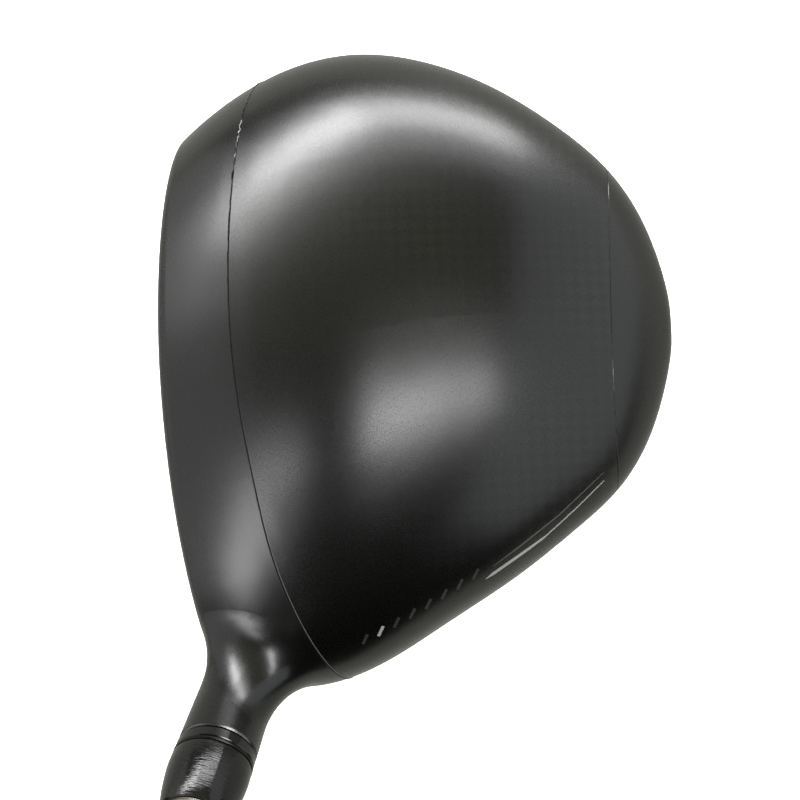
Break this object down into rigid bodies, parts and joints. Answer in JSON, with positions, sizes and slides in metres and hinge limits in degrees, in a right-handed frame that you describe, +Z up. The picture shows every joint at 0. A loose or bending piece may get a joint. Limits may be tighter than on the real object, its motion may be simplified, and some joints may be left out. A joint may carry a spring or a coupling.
{
  "type": "golf driver",
  "caption": "Right-handed golf driver: hollow titanium and carbon head, adjustable hosel sleeve, screwed sole weights, graphite shaft and rubber grip.",
  "frame": {"origin": "centre of the flat pad on the sole that meets the ground at address", "axes": "+X from toe to heel, towards the player; -Y the target side that the face looks at; +Y the back of the head; +Z up; the shaft lies in the plane y = -21 mm, 59.5 degrees above +X"},
  "size_m": [0.6937, 0.1069, 1.0013],
  "materials": {
    "satin_titanium": "satin dark grey coated titanium",
    "face_metal": "brushed dark face",
    "crown_composite": "satin black carbon composite",
    "sole_composite": "gloss black carbon composite",
    "inner_composite": "raw composite",
    "weight_metal": "satin heavy alloy",
    "black_steel": "black oxide steel",
    "plain_steel": "turned steel",
    "bush_alloy": "machined alloy",
    "sleeve_alloy": "dark anodised alloy",
    "ferrule_plastic": "polished black",
    "trim_alloy": "champagne anodised alloy",
    "shaft_graphite": "lacquered graphite composite",
    "cork_plug": "foam cork",
    "tape_fabric": "adhesive grip tape",
    "grip_rubber": "moulded matt rubber",
    "seal_rubber": "moulded rubber",
    "retainer_plastic": "natural nylon"
  },
  "bodies": {
    "head": {"front_body": "satin_titanium", "face_insert": "face_metal", "crown_panel": "crown_composite", "rear_cover": "satin_titanium", "sole_panel_toe": "sole_composite", "sole_panel_heel": "sole_composite", "crown_ledge": "inner_composite", "hosel_screw_washer": "plain_steel", "screw_retainer": "retainer_plastic", "rear_weight_bush": "bush_alloy", "front_weight_bush": "bush_alloy"},
    "hosel_screw": {"hosel_screw": "black_steel"},
    "shaft_assembly": {"adapter_sleeve": "sleeve_alloy", "sleeve_collar": "sleeve_alloy", "sleeve_ring": "sleeve_alloy", "ferrule": "ferrule_plastic", "ferrule_trim": "trim_alloy", "ferrule_top": "ferrule_plastic", "shaft": "shaft_graphite", "shaft_plug": "cork_plug", "grip_tape": "tape_fabric", "grip": "grip_rubber", "grip_cap": "grip_rubber"},
    "rear_weight": {"rear_weight": "weight_metal", "rear_weight_seal": "seal_rubber"},
    "rear_weight_screw": {"rear_weight_screw": "black_steel"},
    "front_weight": {"front_weight": "weight_metal", "front_weight_seal": "seal_rubber"},
    "front_weight_screw": {"front_weight_screw": "black_steel"}
  },
  "joints": [
    {"name": "hosel_screw_turn", "type": "hinge", "parent": "head", "child": "hosel_screw", "pos_m": [0.04339, -0.021, 0.02068], "axis": [-0.5075, 0, -0.8616], "range_deg": [0, 3600]},
    {"name": "shaft_lift", "type": "slide", "parent": "head", "child": "shaft_assembly", "axis": [0.5075, 0, 0.8616], "range_m": [0, 0.008]},
    {"name": "rear_weight_out", "type": "slide", "parent": "head", "child": "rear_weight", "axis": [0.005, 0.6325, -0.7745], "range_m": [0, 0.0049]},
    {"name": "rear_weight_screw_turn", "type": "hinge", "parent": "rear_weight", "child": "rear_weight_screw", "pos_m": [-0.00427, 0.056, 0.01504], "axis": [0.005, 0.6325, -0.7745], "range_deg": [0, 2520]},
    {"name": "front_weight_out", "type": "slide", "parent": "head", "child": "front_weight", "axis": [0, -0.0499, -0.9988], "range_m": [0, 0.0049]},
    {"name": "front_weight_screw_turn", "type": "hinge", "parent": "front_weight", "child": "front_weight_screw", "pos_m": [0.00014, -0.009, 0], "axis": [0, -0.0499, -0.9988], "range_deg": [0, 2520]}
  ],
  "couplings": [
    {"joint": "hosel_screw_turn", "follows": "shaft_lift", "rad_per_m": 7854},
    {"joint": "rear_weight_screw_turn", "follows": "rear_weight_out", "rad_per_m": 8976},
    {"joint": "front_weight_screw_turn", "follows": "front_weight_out", "rad_per_m": 8976}
  ]
}
